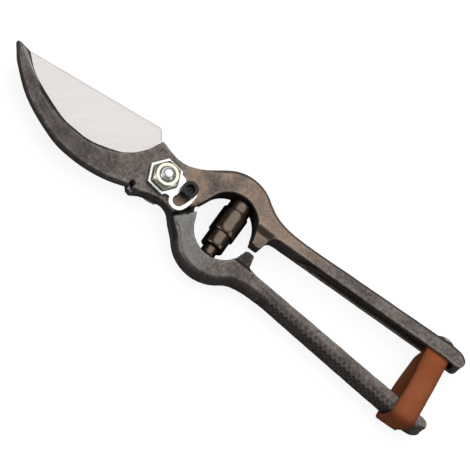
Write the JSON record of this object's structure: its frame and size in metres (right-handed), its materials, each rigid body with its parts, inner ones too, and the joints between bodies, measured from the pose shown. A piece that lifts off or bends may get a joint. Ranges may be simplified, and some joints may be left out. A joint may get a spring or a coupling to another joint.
{
  "type": "pruning shears",
  "caption": "Forged bypass pruning shears with hook and blade jaws, volute spring in a ring, locked pivot nut and a leather strap that holds the handles shut.",
  "frame": {"origin": "on the pivot's axis, at the flat outer face of the bolt's head, on which the shears lie", "axes": "+X along the line midway between the closed handles, from the jaws towards the handles; +Y towards the hook lever's handle; +Z along the pivot from the bolt's head to the nut"},
  "size_m": [0.2184, 0.0455, 0.0213],
  "materials": {
    "forged_steel": "oxidised forged steel, mottled dark brown-grey",
    "blade_steel": "fine ground and lightly polished, the rest of the lever left as forged",
    "plated_steel": "bright plated",
    "black_steel": "black oxide",
    "spring_steel": "dark tempered, glossy",
    "strap_leather": "smooth tan leather with burnished edges"
  },
  "bodies": {
    "hook_body": {"hook_lever": "forged_steel", "pivot_bolt": "plated_steel", "bolt_washer": "plated_steel", "pivot_nut": "plated_steel", "lock_plate": "plated_steel", "lock_screw": "black_steel", "volute_spring": "spring_steel", "strap_rivet": "plated_steel", "rivet_cap": "plated_steel"},
    "blade_body": {"blade_lever": "blade_steel"},
    "strap_body": {"leather_strap": "strap_leather"}
  },
  "joints": [
    {"name": "blade_pivot", "type": "hinge", "parent": "hook_body", "child": "blade_body", "pos_m": [0, 0, 0.009], "axis": [0, 0, -1], "range_deg": [-4.2, 26], "deforming": ["volute_spring"]},
    {"name": "strap_swing", "type": "hinge", "parent": "hook_body", "child": "strap_body", "pos_m": [0.1282, 0.0128, 0.00925], "axis": [0, 0, 1], "range_deg": [0, 75], "deforming": ["leather_strap"]}
  ]
}
